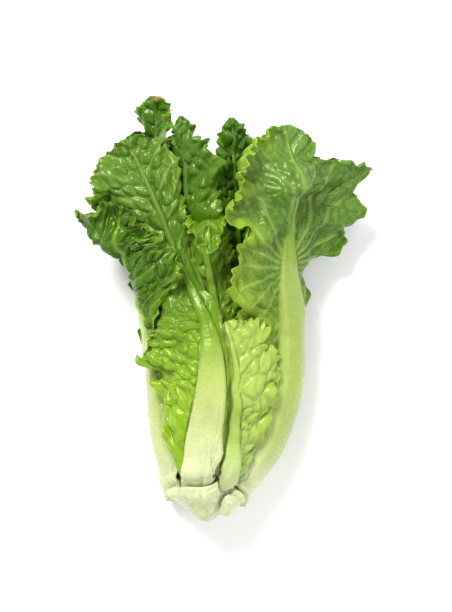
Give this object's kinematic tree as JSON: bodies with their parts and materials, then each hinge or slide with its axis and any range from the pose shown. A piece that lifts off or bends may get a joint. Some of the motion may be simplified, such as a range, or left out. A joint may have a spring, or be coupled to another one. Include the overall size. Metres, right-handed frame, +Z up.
{
  "type": "romaine heart",
  "caption": "Trimmed head of romaine lettuce lying on its back, with loose ruffled green leaves round pale ribs and a cut butt.",
  "frame": {"origin": "middle of the object's box in X and Y, on the surface that the head lies on", "axes": "+Y along the head from the trimmed butt to the leaf tips, +Z up, away from the surface it lies on, +X to the right for somebody who looks down with the tips away from them"},
  "size_m": [0.1694, 0.2502, 0.0821],
  "materials": {
    "leaf": "semi-gloss, pale ribs to deep green blistered blades",
    "butt": "satin, whitish cut tissue"
  },
  "bodies": {
    "root": {"front_cut_base": "butt", "front_leaf": "leaf", "heart_leaf_1": "leaf", "heart_leaf_2": "leaf", "heart_leaf_3": "leaf", "inner_front_leaf": "leaf", "left_back_leaf": "leaf", "left_leaf": "leaf", "lower_right_leaf": "leaf", "middle_right_leaf": "leaf", "right_back_leaf": "leaf", "right_cut_base": "butt", "right_leaf": "leaf", "stem": "butt", "tall_left_leaf": "leaf", "upper_left_leaf": "leaf", "upper_right_leaf": "leaf"}
  },
  "joints": []
}
